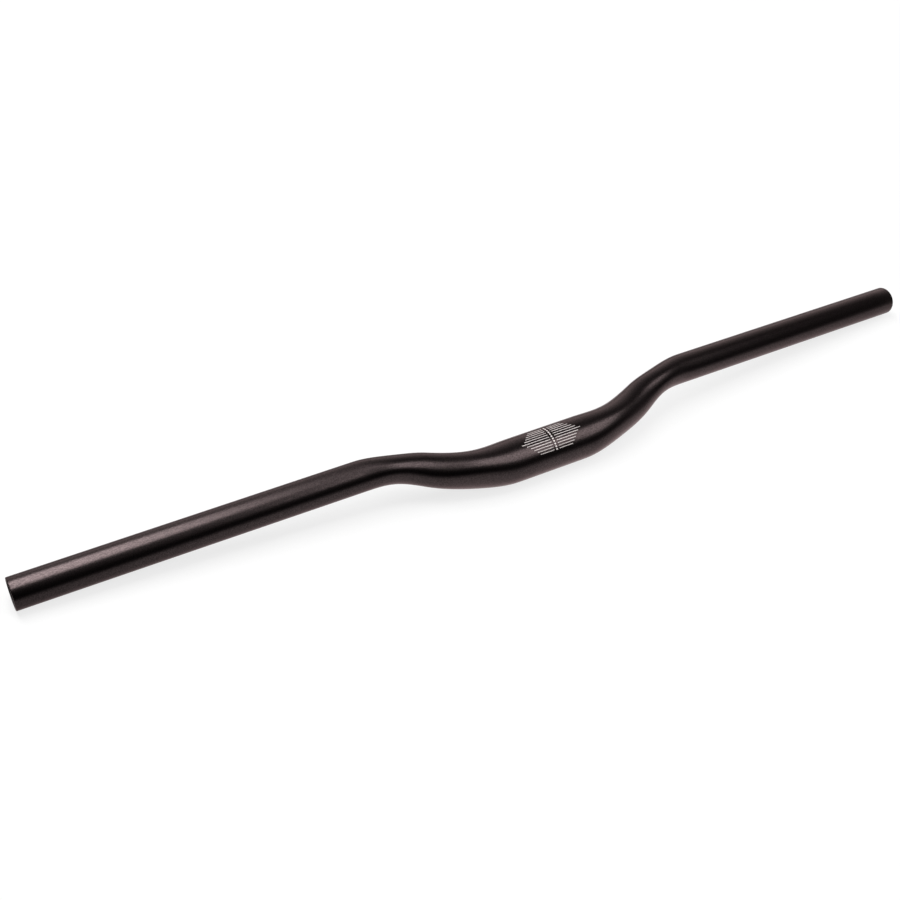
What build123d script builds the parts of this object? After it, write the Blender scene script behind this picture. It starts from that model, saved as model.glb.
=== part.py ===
from build123d import *
import math
import os

# Riser handlebar: one aluminium tube, swaged down from a wide middle to slim grips and bent twice on each side.
# The clamp's axis lies on X with its middle at the origin. The bar is shaped as it is ridden, with its rise
# up Z and its grips swept back along Y, and is then rolled about X to lie on its back, on the clamp and both tips.
# Lengths are in millimetres and angles in degrees.

# Overall shape of the tube's centre line
BAR_WIDTH = 750.0
RISE = 25.0
BACKSWEEP = 5.0
UPSWEEP = 1.3

# Straight middle that the stem holds
CLAMP_DIAMETER = 31.8
CLAMP_LENGTH = 56.0
CLAMP_WALL = 2.4

# Slim ends that carry the grips and the levers
GRIP_DIAMETER = 22.2
GRIP_WALL = 2.0

# The two bends of each side, the short straight between them, and how far bending flattens the tube
LOWER_BEND_RADIUS = 153.0
UPPER_BEND_RADIUS = 122.0
RISE_STRAIGHT = 2.0
LOWER_FLATTENING = 0.09
UPPER_FLATTENING = 0.09

# Swaged taper from the clamp's diameter to the grips', measured along the tube from the clamp's end
TAPER_LENGTH = 88.0

# Outer edge of the cut ends
TIP_ROUND = 1.2
EASED_SHARE = 0.9  # most of the wall that the eased edge may take

# Sections that carry the skin through the bends, one about every SECTION_SPACING
SECTION_SPACING = 7.0


def smooth_step(share):
    """Rise from 0 to 1 that starts and ends level."""
    share = min(max(share, 0.0), 1.0)
    return share * share * (3.0 - 2.0 * share)


def rise_angle():
    """Slope of the climb, in radians: both bends and the straight between them add up to RISE."""
    radii = LOWER_BEND_RADIUS + UPPER_BEND_RADIUS
    slant = math.hypot(RISE_STRAIGHT, radii)
    return math.atan2(radii, RISE_STRAIGHT) + math.asin((RISE - radii) / slant)


def arm_heading():
    """Direction of the right grip, outwards."""
    back = math.radians(BACKSWEEP)
    up = math.radians(UPSWEEP)
    return Vector(math.cos(up) * math.cos(back), math.cos(up) * math.sin(back), math.sin(up))


def bend(start, heading, new_heading, radius):
    """Arc of the centre line that leaves start along heading and turns to new_heading."""
    turn = math.radians(heading.get_angle(new_heading))
    inward = (new_heading - heading * heading.dot(new_heading)).normalized()
    end = start + (heading * math.sin(turn) + inward * (1.0 - math.cos(turn))) * radius
    return Edge.make_tangent_arc(start, heading, end)


# Centre line of the right half, from the clamp's end to the tip
along_clamp = Vector(1, 0, 0)
climb = Vector(math.cos(rise_angle()), 0, math.sin(rise_angle()))
along_arm = arm_heading()

clamp_end = along_clamp * (CLAMP_LENGTH / 2)
lower_bend = bend(clamp_end, along_clamp, climb, LOWER_BEND_RADIUS)
climb_end = (lower_bend @ 1) + climb * RISE_STRAIGHT
climb_line = Edge.make_line(lower_bend @ 1, climb_end)
upper_bend = bend(climb_end, climb, along_arm, UPPER_BEND_RADIUS)
shoulder = Wire([lower_bend, climb_line, upper_bend])

arm_start = upper_bend @ 1
arm_length = (BAR_WIDTH / 2 - arm_start.X) / along_arm.X
arm_tip = arm_start + along_arm * arm_length

# Where the bends lie along the shoulder
lower_bend_span = (0.0, lower_bend.length)
upper_bend_span = (lower_bend.length + RISE_STRAIGHT, shoulder.length)

# The planes of the two bends, each given by the direction square to it
across_lower = Vector(0, 1, 0)
across_upper = climb.cross(along_arm).normalized()


def flattening(distance):
    """Share by which bending has flattened the round tube there, most in the middle of each bend."""
    total = 0.0
    for (start, end), most in (
        (lower_bend_span, LOWER_FLATTENING),
        (upper_bend_span, UPPER_FLATTENING),
    ):
        share = (distance - start) / (end - start)
        if 0.0 < share < 1.0:
            total += most * math.sin(math.pi * share) ** 2
    return total


def across_bend(distance):
    """Wide direction of the flattened tube: it turns from one bend's plane to the other's between their middles."""
    lower_middle = sum(lower_bend_span) / 2
    upper_middle = sum(upper_bend_span) / 2
    share = smooth_step((distance - lower_middle) / (upper_middle - lower_middle))
    return across_lower * (1.0 - share) + across_upper * share


def taper(at_clamp, at_grip, distance):
    """A size that changes along the swaged taper."""
    return at_clamp + (at_grip - at_clamp) * smooth_step(distance / TAPER_LENGTH)


def shoulder_section(distance, inside):
    """Outline of the tube across the shoulder: its outer skin, or its inner one one wall further in."""
    radius = taper(CLAMP_DIAMETER, GRIP_DIAMETER, distance) / 2
    inset = taper(CLAMP_WALL, GRIP_WALL, distance) if inside else 0.0
    flat = flattening(distance)
    here = Plane(
        origin=shoulder.position_at(distance, position_mode=PositionMode.LENGTH),
        x_dir=across_bend(distance),
        z_dir=shoulder.tangent_at(distance, position_mode=PositionMode.LENGTH),
    )
    return here * Ellipse(radius * (1.0 + flat) - inset, radius * (1.0 - flat) - inset)


def half_tube(inside):
    """Solid form of the right half, from the middle of the clamp to the tip, by its outer or its inner skin."""
    clamp_radius = CLAMP_DIAMETER / 2 - (CLAMP_WALL if inside else 0.0)
    grip_radius = GRIP_DIAMETER / 2 - (GRIP_WALL if inside else 0.0)
    section_count = max(2, round(shoulder.length / SECTION_SPACING)) + 1
    sections = [
        shoulder_section(shoulder.length * i / (section_count - 1), inside)
        for i in range(section_count)
    ]
    clamp_plane = Plane(origin=(0, 0, 0), x_dir=across_lower, z_dir=along_clamp)
    arm_plane = Plane(origin=arm_start, x_dir=across_upper, z_dir=along_arm)
    middle = Solid.make_cylinder(clamp_radius, CLAMP_LENGTH / 2, clamp_plane)
    arm = Solid.make_cylinder(grip_radius, arm_length, arm_plane)
    return Part() + middle + loft(sections) + arm


def half_bar():
    """Hollow right half, with the outer edge of its cut end eased."""
    outside = half_tube(inside=False)
    rings = outside.edges().filter_by(GeomType.CIRCLE)
    tip_edge = rings.sort_by(lambda ring: ring.arc_center.X)[-1]
    outside = fillet(tip_edge, min(TIP_ROUND, EASED_SHARE * GRIP_WALL))
    return outside - half_tube(inside=True)


def lying_roll():
    """Turn about the clamp's axis that lays the bar down: the ground then touches the clamp and both tips."""
    tip_distance = math.hypot(arm_tip.Y, arm_tip.Z)
    tip_bearing = math.atan2(arm_tip.Z, arm_tip.Y)
    step_down = (CLAMP_DIAMETER - GRIP_DIAMETER) / 2
    ground_bearing = tip_bearing - math.acos(step_down / tip_distance)
    return -90.0 - math.degrees(ground_bearing)


right_half = half_bar()
handlebar = Rot(X=lying_roll()) * (right_half + mirror(right_half, about=Plane.YZ))

os.makedirs("parts", exist_ok=True)
export_step(handlebar, "parts/handlebar.step")

print("solids", len(handlebar.solids()), "volume in cm3", round(handlebar.volume / 1000, 2))
print("slope of the rise", round(math.degrees(rise_angle()), 2), "shoulder length", round(shoulder.length, 2))
print("as ridden, arm from", arm_start, "to", arm_tip, "length", round(arm_length, 2), "heading", along_arm)
print("roll to lie", round(lying_roll(), 4), "lowest point", round(handlebar.bounding_box().min.Z, 3))
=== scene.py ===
# %% [markdown]
# # A riser handlebar, from its CAD frame to a finished look
#
# The object is a riser handlebar for a bicycle: one aluminium tube, wide in the middle, where the stem
# holds it, bent up and a little back on each side, and slim at the ends, which carry the grips. It lies
# on its back on a white studio floor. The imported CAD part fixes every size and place. This lesson gives
# the tube a fine skin, its satin black finish and the printed scale on its clamp, and then lights and
# frames it as for a product photograph.

# %% Load the frame
import math
from collections import namedtuple

import bmesh
import bpy
from mathutils import Matrix, Vector


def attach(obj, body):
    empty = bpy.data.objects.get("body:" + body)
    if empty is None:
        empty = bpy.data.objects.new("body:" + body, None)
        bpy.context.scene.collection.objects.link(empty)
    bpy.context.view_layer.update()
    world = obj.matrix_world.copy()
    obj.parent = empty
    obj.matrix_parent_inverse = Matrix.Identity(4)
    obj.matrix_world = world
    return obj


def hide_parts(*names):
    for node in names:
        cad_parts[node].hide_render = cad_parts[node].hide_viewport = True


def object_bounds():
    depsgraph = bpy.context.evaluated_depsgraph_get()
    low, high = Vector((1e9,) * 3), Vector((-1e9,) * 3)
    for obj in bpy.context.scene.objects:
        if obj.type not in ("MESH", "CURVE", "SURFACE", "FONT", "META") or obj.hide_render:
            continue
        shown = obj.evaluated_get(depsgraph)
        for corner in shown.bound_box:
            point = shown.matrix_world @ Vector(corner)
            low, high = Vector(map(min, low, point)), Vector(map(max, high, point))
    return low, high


MM = 0.001

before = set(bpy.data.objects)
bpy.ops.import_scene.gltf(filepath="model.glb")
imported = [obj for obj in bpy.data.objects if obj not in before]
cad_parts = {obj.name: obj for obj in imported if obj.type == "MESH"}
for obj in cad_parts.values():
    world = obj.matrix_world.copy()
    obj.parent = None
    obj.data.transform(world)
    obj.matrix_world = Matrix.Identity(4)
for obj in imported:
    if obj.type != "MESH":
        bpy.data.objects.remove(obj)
cad_low, cad_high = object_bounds()
print("CAD nodes", sorted(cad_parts), "size in mm", [round(d / MM, 1) for d in cad_high - cad_low])

# %% [markdown]
# ## The tube's sizes and its centre line
#
# A bar like this starts as a straight tube. Its ends are drawn down to the grips' diameter, and then each
# side is bent twice: upwards, away from the clamp, and back again into the nearly level arm. The CAD mesh
# has facets that show at the ends, so the tube gets a finer skin of the same form. The sizes are those of
# the CAD part, apart from the finely eased edges of the tips. The tube is shaped as it is ridden, with its
# rise along Z, because both bends are easiest to follow that way.

# %% Sizes, in metres
BAR_WIDTH = 750 * MM
RISE = 25 * MM
BACKSWEEP = math.radians(5)
UPSWEEP = math.radians(1.3)
CLAMP_RADIUS = 15.9 * MM
CLAMP_LENGTH = 56 * MM
CLAMP_WALL = 2.4 * MM
GRIP_RADIUS = 11.1 * MM
GRIP_WALL = 2.0 * MM
LOWER_BEND_RADIUS = 153 * MM
UPPER_BEND_RADIUS = 122 * MM
CLIMB_LENGTH = 2 * MM
LOWER_FLATTENING = 0.09
UPPER_FLATTENING = 0.09
TAPER_LENGTH = 88 * MM
print("bar", round(BAR_WIDTH / MM), "mm wide, with a rise of", round(RISE / MM), "mm")

# %% Tools for a bend
Bend = namedtuple("Bend", "centre axis angle")


def bend_between(start, heading, new_heading, radius):
    """The turn that takes heading to new_heading, from start on."""
    inward = (new_heading - heading * heading.dot(new_heading)).normalized()
    axis = heading.cross(new_heading).normalized()
    return Bend(start + inward * radius, axis, heading.angle(new_heading))


def along_bend(start, bend, share):
    """Point that start reaches after this share of the turn, and the turn so far as a matrix."""
    turn = Matrix.Rotation(bend.angle * share, 3, bend.axis)
    return bend.centre + turn @ (start - bend.centre), turn


# %% The centre line of the right half, from the clamp to the tip
radii = LOWER_BEND_RADIUS + UPPER_BEND_RADIUS
slope = math.atan2(radii, CLIMB_LENGTH) + math.asin((RISE - radii) / math.hypot(CLIMB_LENGTH, radii))
along_clamp = Vector((1, 0, 0))
climb = Vector((math.cos(slope), 0, math.sin(slope)))
along_arm = Vector((math.cos(BACKSWEEP), math.sin(BACKSWEEP), math.tan(UPSWEEP))).normalized()

clamp_end = along_clamp * CLAMP_LENGTH / 2
lower_bend = bend_between(clamp_end, along_clamp, climb, LOWER_BEND_RADIUS)
climb_start = along_bend(clamp_end, lower_bend, 1)[0]
climb_end = climb_start + climb * CLIMB_LENGTH
upper_bend = bend_between(climb_end, climb, along_arm, UPPER_BEND_RADIUS)
arm_start = along_bend(climb_end, upper_bend, 1)[0]
arm_length = (BAR_WIDTH / 2 - arm_start.x) / along_arm.x
arm_tip = arm_start + along_arm * arm_length
print("slope of the climb", round(math.degrees(slope), 2), "arm of", round(arm_length / MM, 2), "mm")

# %% [markdown]
# ## Sections along the shoulder
#
# Drawing leaves a smooth taper, and bending then flattens the tube a little: across the bend it gets
# wider, and in the plane of the bend lower. Each section is therefore an ellipse. Its two half-widths
# follow from how far along the shoulder it lies, so that one short list describes the whole shoulder,
# outside and inside.

# %% Rings of the shoulder: how far along each lies, its middle and its direction
LOWER_STEPS = 18
UPPER_STEPS = 16

lower_length = LOWER_BEND_RADIUS * lower_bend.angle
upper_length = UPPER_BEND_RADIUS * upper_bend.angle
upper_start = lower_length + CLIMB_LENGTH
shoulder_length = upper_start + upper_length

shoulder_rings = []
for step in range(LOWER_STEPS + 1):
    place, turn = along_bend(clamp_end, lower_bend, step / LOWER_STEPS)
    shoulder_rings.append((lower_length * step / LOWER_STEPS, place, turn @ along_clamp))
for step in range(UPPER_STEPS + 1):
    place, turn = along_bend(climb_end, upper_bend, step / UPPER_STEPS)
    shoulder_rings.append((upper_start + upper_length * step / UPPER_STEPS, place, turn @ climb))
print(len(shoulder_rings), "rings over", round(shoulder_length / MM, 2), "mm of shoulder")

# %% The section of each ring
across_lower = Vector((0, 1, 0))
across_upper = upper_bend.axis


def smooth_step(share):
    """Rise from 0 to 1 that starts and ends level."""
    share = min(max(share, 0), 1)
    return share * share * (3 - 2 * share)


def flattening(distance):
    """Share by which the section is flattened, most in the middle of each bend."""
    total = 0
    for start, length, most in (
        (0, lower_length, LOWER_FLATTENING),
        (upper_start, upper_length, UPPER_FLATTENING),
    ):
        share = min(max((distance - start) / length, 0), 1)
        total += most * math.sin(math.pi * share) ** 2
    return total


def across_bend(distance):
    """Wide direction of the section, which turns from one bend's plane to the other's."""
    lower_middle = lower_length / 2
    upper_middle = shoulder_length - upper_length / 2
    share = smooth_step((distance - lower_middle) / (upper_middle - lower_middle))
    return across_lower.lerp(across_upper, share)


def half_widths(distance, inside):
    """Half the section's width across the bend and in its plane."""
    taper = smooth_step(distance / TAPER_LENGTH)
    radius = CLAMP_RADIUS + (GRIP_RADIUS - CLAMP_RADIUS) * taper
    wall = CLAMP_WALL + (GRIP_WALL - CLAMP_WALL) * taper if inside else 0
    flat = flattening(distance)
    return radius * (1 + flat) - wall, radius * (1 - flat) - wall


halfway = half_widths(shoulder_length / 2, inside=False)
print("halfway along, the section is", [round(2 * width / MM, 1) for width in halfway], "mm")

# %% [markdown]
# ## One half of the tube
#
# The half is drawn as one skin, without a break. A circle in the middle of the clamp is pulled out to the
# clamp's end, spun round the lower bend, pulled up the climb, spun round the upper bend and pulled out to
# the tip. There it turns inwards over the wall and runs all the way back as the bore. A curve with a round
# profile would be quicker, but its section stays a circle, and this tube's doesn't.

# %% A circle in the middle of the clamp
RING_POINTS = 96

bpy.ops.object.select_all(action="DESELECT")
bpy.ops.mesh.primitive_circle_add(
    vertices=RING_POINTS, radius=CLAMP_RADIUS, rotation=(0, math.pi / 2, 0)
)
tube = bpy.context.object
tube.name = "tube"
bpy.ops.object.transform_apply(rotation=True)
bpy.ops.object.mode_set(mode="EDIT")
bpy.ops.mesh.select_all(action="SELECT")
print("circle of", len(tube.data.vertices), "points")


# %% Tools that carry the selected ring on
def pull(path, steps=1):
    """Extrude the selected ring along a straight path."""
    for _ in range(steps):
        bpy.ops.mesh.extrude_region_move(TRANSFORM_OT_translate={"value": path / steps})


def spin(bend, steps, way=1):
    """Carry the selected ring round a bend, outwards or back. The operator counts its angle clockwise."""
    bpy.ops.mesh.spin(steps=steps, angle=-way * bend.angle, center=bend.centre, axis=bend.axis)


# %% Tools that find a ring and give it its section
IN_PLANE = 0.02 * MM
RING_SLACK = 0.1 * MM


def select_points(piece, wanted):
    """In Edit Mode, select the points for whose place wanted() is true, and no others."""
    bpy.ops.mesh.select_all(action="DESELECT")
    skin = bmesh.from_edit_mesh(piece.data)
    for point in skin.verts:
        point.select = wanted(point.co)
    skin.select_flush_mode()
    bmesh.update_edit_mesh(piece.data)


def select_ring(place, tangent, radius):
    """Select the ring of this radius: its points lie in one plane, equally far from its middle."""

    def on_ring(point):
        offset = point - place
        return abs(offset.dot(tangent)) < IN_PLANE and abs(offset.length - radius) < RING_SLACK

    select_points(tube, on_ring)


def size_rings(inside, drawn_radius):
    """Give every ring of the shoulder its own section. They are all still round, of drawn_radius."""
    for distance, place, tangent in shoulder_rings:
        across = across_bend(distance)
        across = (across - tangent * across.dot(tangent)).normalized()
        wide, low = half_widths(distance, inside)
        select_ring(place, tangent, drawn_radius)
        bpy.ops.transform.resize(
            value=(wide / drawn_radius, low / drawn_radius, 1),
            orient_matrix=(across, tangent.cross(across), tangent),
            orient_matrix_type="GLOBAL",
            center_override=place,
        )


# %% The outer skin, from the middle of the clamp to the tip
CLAMP_STEPS = 2
ARM_STEPS = 12

pull(clamp_end, CLAMP_STEPS)
spin(lower_bend, LOWER_STEPS)
pull(climb * CLIMB_LENGTH)
spin(upper_bend, UPPER_STEPS)
size_rings(inside=False, drawn_radius=CLAMP_RADIUS)
select_ring(arm_start, along_arm, GRIP_RADIUS)
pull(along_arm * arm_length, ARM_STEPS)
outer_faces = len(bmesh.from_edit_mesh(tube.data).faces)
print("outer skin of", outer_faces, "faces")

# %% The end face and the bore, back to the middle
bore_radius = GRIP_RADIUS - GRIP_WALL
shrink = bore_radius / GRIP_RADIUS

bpy.ops.mesh.extrude_region_move()
bpy.ops.transform.resize(value=(shrink, shrink, shrink), center_override=arm_tip)
pull(-along_arm * arm_length, ARM_STEPS)
spin(upper_bend, UPPER_STEPS, way=-1)
pull(-climb * CLIMB_LENGTH)
spin(lower_bend, LOWER_STEPS, way=-1)
size_rings(inside=True, drawn_radius=bore_radius)
select_ring(clamp_end, along_clamp, CLAMP_RADIUS - CLAMP_WALL)
pull(-clamp_end, CLAMP_STEPS)

# %% Mark the bore for a finish of its own
BORE_SLOT = 1

skin = bmesh.from_edit_mesh(tube.data)
skin.faces.ensure_lookup_table()
bore_faces = skin.faces[outer_faces + RING_POINTS:]
for face in bore_faces:
    face.material_index = BORE_SLOT
print("end face of", RING_POINTS, "faces and bore of", len(bore_faces))

# %% [markdown]
# ## The cut ends
#
# The bar is cut to length after bending, and the cut is eased so that grips slide on: a small round
# outside and a narrow bevel at the bore. Both are bevels on one ring of edges, which is found by its place
# at the tip.

# %% Ease the two edges of the tip
TIP_ROUND = 0.6 * MM
TIP_ROUND_STEPS = 6
BORE_BEVEL = 0.3 * MM

select_ring(arm_tip, along_arm, GRIP_RADIUS)
bpy.ops.mesh.bevel(offset=TIP_ROUND, segments=TIP_ROUND_STEPS, affect="EDGES")
select_ring(arm_tip, along_arm, bore_radius)
bpy.ops.mesh.bevel(offset=BORE_BEVEL, segments=1, affect="EDGES")
bpy.ops.object.mode_set(mode="OBJECT")
print("with its eased tip the half has", len(tube.data.polygons), "faces")

# %% [markdown]
# ## The whole tube, laid on its back
#
# The left side is the mirror image of the right, so a Mirror modifier makes it and joins both skins in the
# middle of the clamp. The bar is then rolled about the clamp's axis until the floor touches the clamp and
# both tips. That roll follows from the same sizes: at the tips the floor lies nearer to the centre line
# than at the clamp, by the difference of the two radii.

# %% Mirror the half
SAME_PLACE = 0.01 * MM

bpy.ops.object.modifier_add(type="MIRROR")
tube.modifiers[-1].merge_threshold = SAME_PLACE
bpy.ops.object.modifier_apply(modifier=tube.modifiers[-1].name)
print("both halves have", len(tube.data.polygons), "faces")

# %% Roll the bar onto the floor
SHARP_ANGLE = math.radians(30)

tip_distance = math.hypot(arm_tip.y, arm_tip.z)
tip_bearing = math.atan2(arm_tip.z, arm_tip.y)
floor_bearing = tip_bearing - math.acos((CLAMP_RADIUS - GRIP_RADIUS) / tip_distance)
roll = -math.pi / 2 - floor_bearing
tube.rotation_euler.x = roll
bpy.ops.object.transform_apply(rotation=True)

bpy.ops.object.mode_set(mode="EDIT")
bpy.ops.mesh.select_all(action="SELECT")
bpy.ops.mesh.normals_make_consistent(inside=False)
bpy.ops.object.mode_set(mode="OBJECT")
bpy.ops.object.shade_smooth_by_angle(angle=SHARP_ANGLE)
print("roll of", round(math.degrees(roll), 3), "degrees")

# %% Compare the new skin with the CAD part, and let it stand for that
cad_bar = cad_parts["handlebar"]
farthest = 0
for point in tube.data.vertices:
    nearest = cad_bar.closest_point_on_mesh(point.co)[1]
    farthest = max(farthest, (nearest - point.co).length)
print("farthest point of the skin from the CAD part", round(farthest / MM, 3), "mm")

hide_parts("handlebar")
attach(tube, "root")

# %% [markdown]
# ## Satin black anodising
#
# The tube is blasted with fine beads and then anodised black. It has no colour of its own worth the name:
# what shows is a weak, slightly warm reflection, spread wide by the blasted grain. A metallic Principled
# shader with a very dark colour gives that, because a metal's colour is the strength of its reflection.
# The grain is a fine noise that moves the tint and the roughness a little from grain to grain, and gives a
# low bump. The bore isn't blasted, so it is duller: a dark coat that is no mirror and only catches some
# light near the mouth.

# %% Helpers for materials
NOISE_LOW = 0.35
NOISE_HIGH = 0.65


def new_material(name):
    """A node material, with its tree and its Principled shader."""
    material = bpy.data.materials.new(name)
    material.use_nodes = True
    tree = material.node_tree
    return material, tree, tree.nodes["Principled BSDF"]


def add_noise(tree, per_metre, detail=2):
    """A noise in the object's own coordinates, which mostly stays between NOISE_LOW and NOISE_HIGH."""
    place = tree.nodes.new("ShaderNodeTexCoord")
    noise = tree.nodes.new("ShaderNodeTexNoise")
    noise.inputs["Scale"].default_value = per_metre
    noise.inputs["Detail"].default_value = detail
    tree.links.new(place.outputs["Object"], noise.inputs["Vector"])
    return noise.outputs["Fac"]


def map_range(tree, value, low, high, to_low, to_high):
    """Spread a value from one range over another."""
    node = tree.nodes.new("ShaderNodeMapRange")
    node.inputs["From Min"].default_value = low
    node.inputs["From Max"].default_value = high
    node.inputs["To Min"].default_value = to_low
    node.inputs["To Max"].default_value = to_high
    tree.links.new(value, node.inputs["Value"])
    return node.outputs["Result"]


def mottle(tree, shader, noise, dark, light):
    """Let the shader's colour wander between two tints with a noise."""
    tint = tree.nodes.new("ShaderNodeMix")
    tint.data_type = "RGBA"
    tint.inputs["A"].default_value = dark
    tint.inputs["B"].default_value = light
    tree.links.new(map_range(tree, noise, NOISE_LOW, NOISE_HIGH, 0, 1), tint.inputs["Factor"])
    tree.links.new(tint.outputs["Result"], shader.inputs["Base Color"])


# %% The anodised finish
DARK_GRAIN = (0.04, 0.031, 0.0315, 1)
LIGHT_GRAIN = (0.08, 0.062, 0.0625, 1)
WARM_EDGE = (1, 0.86, 0.86, 1)
GRAINS_PER_METRE = 1300
GRAIN_DETAIL = 3
GRAIN_HEIGHT = 0.05 * MM
GRAIN_BUMP = 0.4
DARK_ROUGHNESS = 0.325
LIGHT_ROUGHNESS = 0.275

anodising, tree, shader = new_material("black_anodising")
shader.inputs["Metallic"].default_value = 1
shader.inputs["Specular Tint"].default_value = WARM_EDGE

grain = add_noise(tree, GRAINS_PER_METRE, GRAIN_DETAIL)
mottle(tree, shader, grain, DARK_GRAIN, LIGHT_GRAIN)
roughness = map_range(tree, grain, NOISE_LOW, NOISE_HIGH, DARK_ROUGHNESS, LIGHT_ROUGHNESS)
tree.links.new(roughness, shader.inputs["Roughness"])
bump = tree.nodes.new("ShaderNodeBump")
bump.inputs["Strength"].default_value = GRAIN_BUMP
bump.inputs["Distance"].default_value = GRAIN_HEIGHT
tree.links.new(grain, bump.inputs["Height"])
tree.links.new(bump.outputs["Normal"], shader.inputs["Normal"])
tube.data.materials.append(anodising)
print("finish", anodising.name, "with", len(tree.nodes), "nodes")

# %% The dull bore
DARK_COAT = (0.035, 0.032, 0.031, 1)
LIGHT_COAT = (0.06, 0.055, 0.053, 1)
COAT_SPOTS_PER_METRE = 300
COAT_ROUGHNESS = 0.6

bore_finish, tree, shader = new_material("dull_bore")
shader.inputs["Roughness"].default_value = COAT_ROUGHNESS
mottle(tree, shader, add_noise(tree, COAT_SPOTS_PER_METRE), DARK_COAT, LIGHT_COAT)
tube.data.materials.append(bore_finish)
in_bore = [face for face in tube.data.polygons if face.material_index == BORE_SLOT]
print("finish", bore_finish.name, "on", len(in_bore), "faces")

# %% [markdown]
# ## The printed scale on the clamp
#
# The clamp carries a printed scale for setting the bar's angle in its stem: eleven rows of fine lines,
# longest in the middle row, with a dot between the two lines of each row. Ink has an edge and a thickness,
# so the print is a thin layer of mesh on the skin and not a picture. One line and one dot are drawn on top
# of the clamp. Every row is a copy of them, with its line pulled out to its own length, turned about the
# clamp's axis.

# %% One line and one dot, on top of the clamp
LINE_WIDTH = 0.42 * MM
LINE_START = 2.2 * MM
DOT_WIDTH = 1.35 * MM
MARK_POINTS = 24
INK_TOP = 0.03 * MM
INK_ROOT = 0.05 * MM


def draw_mark(name, width, start):
    """A flat round mark on top of the clamp, which reaches a little below the skin."""
    bpy.ops.object.select_all(action="DESELECT")
    bpy.ops.mesh.primitive_cylinder_add(
        vertices=MARK_POINTS,
        radius=width / 2,
        depth=INK_TOP + INK_ROOT,
        location=(start + width / 2, 0, CLAMP_RADIUS + (INK_TOP - INK_ROOT) / 2),
    )
    mark = bpy.context.object
    mark.name = name
    bpy.ops.object.transform_apply(location=True)
    return mark


line_master = draw_mark("scale_line", LINE_WIDTH, LINE_START)
dot_master = draw_mark("scale_dot", DOT_WIDTH, -DOT_WIDTH / 2)
print("a line starts", round(LINE_START / MM, 1), "mm from the middle, and a dot lies in it")

# %% Tools that copy a mark to its row and join what belongs together
ROW_COUNT = 11
ROW_SPACING = 2.01 * MM
MIDDLE_ROW = math.radians(105.7)

row_turn = ROW_SPACING / CLAMP_RADIUS


def copy_mark(master, row, reach=0):
    """Copy a mark, pull its far end out to its reach, and turn it to its row."""
    bpy.ops.object.select_all(action="DESELECT")
    master.select_set(True)
    bpy.context.view_layer.objects.active = master
    bpy.ops.object.duplicate()
    mark = bpy.context.object
    if reach:
        middle = LINE_START + LINE_WIDTH / 2
        bpy.ops.object.mode_set(mode="EDIT")
        select_points(mark, lambda point: point.x > middle + SAME_PLACE)
        bpy.ops.transform.translate(value=(reach - LINE_START - LINE_WIDTH, 0, 0))
        bpy.ops.object.mode_set(mode="OBJECT")
    bearing = MIDDLE_ROW + (ROW_COUNT // 2 - row) * row_turn
    mark.rotation_euler.x = bearing - math.pi / 2
    bpy.ops.object.transform_apply(rotation=True)
    return mark


def join(pieces, name):
    """Make one object of several."""
    bpy.ops.object.select_all(action="DESELECT")
    for piece in pieces:
        piece.select_set(True)
    bpy.context.view_layer.objects.active = pieces[0]
    bpy.ops.object.join()
    pieces[0].name = name
    return pieces[0]


# %% Eleven rows, whose lines reach furthest in the middle
ROW_REACH = [reach * MM for reach in (14.0, 15.9, 17.8, 19.7, 21.9, 24.9)]

lines = []
dots = []
for row in range(ROW_COUNT):
    reach = ROW_REACH[min(row, ROW_COUNT - 1 - row)]
    lines.append(copy_mark(line_master, row, reach))
    dots.append(copy_mark(dot_master, row))

line_side = join(lines, "scale_lines")
bpy.ops.object.modifier_add(type="MIRROR")
line_side.modifiers[-1].use_mirror_merge = False
bpy.ops.object.modifier_apply(modifier=line_side.modifiers[-1].name)
scale_print = join([line_side] + dots, "angle_scale")
bpy.data.objects.remove(line_master)
bpy.data.objects.remove(dot_master)
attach(scale_print, "root")
print("scale of", ROW_COUNT, "rows with", len(scale_print.data.polygons), "faces")

# %% The ink
DARK_INK = (0.8, 0.73, 0.71, 1)
LIGHT_INK = (0.88, 0.81, 0.79, 1)
INK_SPOTS_PER_METRE = 2000
INK_ROUGHNESS = 0.45

ink, tree, shader = new_material("warm_white_ink")
shader.inputs["Roughness"].default_value = INK_ROUGHNESS
mottle(tree, shader, add_noise(tree, INK_SPOTS_PER_METRE), DARK_INK, LIGHT_INK)
scale_print.data.materials.append(ink)
print("ink", ink.name, "with", len(tree.nodes), "nodes")

# %% [markdown]
# ## Studio
#
# The photograph has a white floor, a dark room and two softboxes: a large one over the left arm, a little
# behind it, and a smaller one over the right, a little in front. A satin tube shows its whole room as
# bands along its length, so what the metal sees matters more than the lamps' strength. In reflections the
# floor is a pool of light round the bar, dark further out, and the room is bright at the back and dark
# overhead. The camera sees both as plain white, by Light Path's Is Camera Ray, and the floor keeps the
# bar's shadow.

# %% The floor's plane
FLOOR_SIZE = 12

bpy.ops.object.select_all(action="DESELECT")
bpy.ops.mesh.primitive_plane_add(size=FLOOR_SIZE, location=(0, 0, cad_low.z))
floor = bpy.context.object
floor.name = "floor"
print("floor", round(-cad_low.z / MM, 2), "mm below the clamp's axis")


# %% Helpers for what a ray sees
def seen_directly(tree, path):
    """1 for rays from the camera or through a clear body, and 0 for all others."""
    node = tree.nodes.new("ShaderNodeMath")
    node.operation = "MAXIMUM"
    tree.links.new(path.outputs["Is Camera Ray"], node.inputs[0])
    tree.links.new(path.outputs["Is Transmission Ray"], node.inputs[1])
    return node.outputs[0]


def length_of(tree, vector):
    """Length of a vector, here a distance from the middle of the floor."""
    node = tree.nodes.new("ShaderNodeVectorMath")
    node.operation = "LENGTH"
    tree.links.new(vector, node.inputs[0])
    return node.outputs["Value"]


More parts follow.
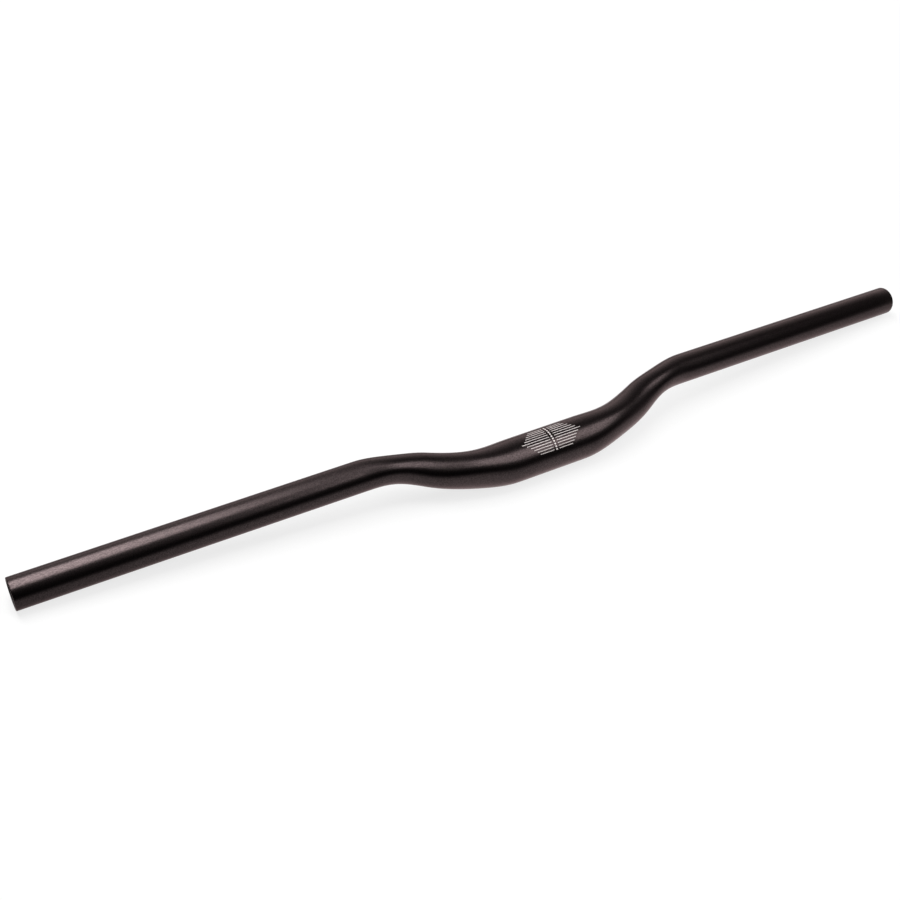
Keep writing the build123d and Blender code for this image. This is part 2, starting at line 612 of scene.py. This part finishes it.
# %% A white floor that takes a shadow
WHITE = (1, 1, 1, 1)
LAMPLIT_SHARE = 0.25
BACKDROP_GLOW = 0.77
FADE_START = 0.5
FADE_END = 2

white_floor, tree, shader = new_material("white_floor")
shader.inputs["Roughness"].default_value = 1
shader.inputs["Specular IOR Level"].default_value = 0
shader.inputs["Emission Color"].default_value = WHITE
floor.data.materials.append(white_floor)

path = tree.nodes.new("ShaderNodeLightPath")
in_metal = path.outputs["Is Glossy Ray"]
tree.links.new(map_range(tree, in_metal, 0, 1, LAMPLIT_SHARE, 0), shader.inputs["Base Color"])

ground = tree.nodes.new("ShaderNodeTexCoord").outputs["Object"]
far_white = map_range(tree, length_of(tree, ground), FADE_START, FADE_END, BACKDROP_GLOW, 1)
backdrop = tree.nodes.new("ShaderNodeMath")
backdrop.operation = "MULTIPLY"
tree.links.new(seen_directly(tree, path), backdrop.inputs[0])
tree.links.new(far_white, backdrop.inputs[1])
print("near the bar", LAMPLIT_SHARE, "of the white is left to the lamps, and so to the shadow")

# %% The pool of light that the metal sees, painted on the floor as a glow for glossy rays
POOL_STRETCH = (0.3, 1, 0)
POOL_SHIFT = (-0.02, 0, 0)
POOL_REACH = 0.25
POOL_EDGE = 0.04

oval = tree.nodes.new("ShaderNodeVectorMath")
oval.operation = "MULTIPLY_ADD"
oval.inputs[1].default_value = POOL_STRETCH
oval.inputs[2].default_value = POOL_SHIFT
tree.links.new(ground, oval.inputs[0])
# Painted light: the floor glows for glossy rays only, brightest round the bar and dark further out.
pool = map_range(tree, length_of(tree, oval.outputs["Vector"]), 0, POOL_REACH, 1, POOL_EDGE)

glow = tree.nodes.new("ShaderNodeMix")
tree.links.new(in_metal, glow.inputs["Factor"])
tree.links.new(backdrop.outputs[0], glow.inputs["A"])
tree.links.new(pool, glow.inputs["B"])
tree.links.new(glow.outputs["Result"], shader.inputs["Emission Strength"])
print("pool of light", round(2 * POOL_REACH / POOL_STRETCH[0], 2), "by", 2 * POOL_REACH, "m")

# %% The room, as the world
AMBIENT = 0.1
DARK_WAY = (-0.25, -0.73, 1)
BRIGHT_FROM = -0.6
DARK_FROM = 0.36

world = bpy.data.worlds.new("studio")
bpy.context.scene.world = world
world.use_nodes = True
tree = world.node_tree
tree.nodes.clear()

tilt = tree.nodes.new("ShaderNodeVectorMath")
tilt.operation = "DOT_PRODUCT"
tilt.inputs[1].default_value = DARK_WAY
tree.links.new(tree.nodes.new("ShaderNodeTexCoord").outputs["Generated"], tilt.inputs[0])
room = map_range(tree, tilt.outputs["Value"], BRIGHT_FROM, DARK_FROM, 1, 0)

path = tree.nodes.new("ShaderNodeLightPath")
level = tree.nodes.new("ShaderNodeMix")
level.inputs["A"].default_value = AMBIENT
tree.links.new(room, level.inputs["B"])
tree.links.new(path.outputs["Is Glossy Ray"], level.inputs["Factor"])
seen = tree.nodes.new("ShaderNodeMix")
seen.inputs["B"].default_value = 1
tree.links.new(level.outputs["Result"], seen.inputs["A"])
tree.links.new(seen_directly(tree, path), seen.inputs["Factor"])

background = tree.nodes.new("ShaderNodeBackground")
background.inputs["Color"].default_value = WHITE
tree.links.new(seen.outputs["Result"], background.inputs["Strength"])
surface = tree.nodes.new("ShaderNodeOutputWorld")
tree.links.new(background.outputs[0], surface.inputs["Surface"])
print("room with an ambient light of", AMBIENT)


# %% Lamps
def add_softbox(name, place, aim, width, depth, power):
    """A rectangular lamp that starts level and is tipped about X and Y towards a point on the bar."""
    bpy.ops.object.light_add(type="AREA", location=place)
    lamp = bpy.context.object
    lamp.name = name
    lamp.data.shape = "RECTANGLE"
    lamp.data.size = width
    lamp.data.size_y = depth
    lamp.data.energy = power
    lamp.visible_camera = False
    beam = Vector(aim) - Vector(place)
    way = beam.normalized()
    lamp.rotation_euler = (math.asin(way.y), math.atan2(-way.x, -way.z), 0)
    print(name, "of", power, "W,", round(beam.length, 2), "m from the bar")


add_softbox(
    "left_softbox", place=(-0.38, 0.465, 1.66), aim=(-0.2, 0, 0), width=0.78, depth=1.71, power=29.5
)
add_softbox(
    "right_softbox", place=(0.5, -0.53, 1.02), aim=(0.05, 0, 0), width=0.75, depth=0.9, power=6.2
)

# %% [markdown]
# ## Camera
#
# The viewing angle was found by matching the tube's outline, its tips and the rows of the scale to the
# photograph. A lens of 56 mm on a 36 mm sensor stands about 1 m from the bar, above its left front.

# %% Place the camera
CAMERA_PLACE = Vector((-0.499245, -0.594789, 0.644342))
CAMERA_RIGHT = Vector((0.851479, -0.519025, 0.074803))
CAMERA_FORWARD = Vector((0.438041, 0.625582, -0.645575))
SENSOR_WIDTH = 36
LENS = 56.37

camera_data = bpy.data.cameras.new("camera")
camera_data.sensor_width = SENSOR_WIDTH
camera_data.lens = LENS
camera = bpy.data.objects.new("camera", camera_data)
bpy.context.scene.collection.objects.link(camera)
axes = Matrix((CAMERA_RIGHT, CAMERA_RIGHT.cross(CAMERA_FORWARD), -CAMERA_FORWARD)).transposed()
camera.matrix_world = Matrix.Translation(CAMERA_PLACE) @ axes.to_4x4()
bpy.context.scene.camera = camera
bpy.context.scene.view_settings.view_transform = "Standard"
print("camera", round(CAMERA_PLACE.length, 2), "m from the middle of the clamp")
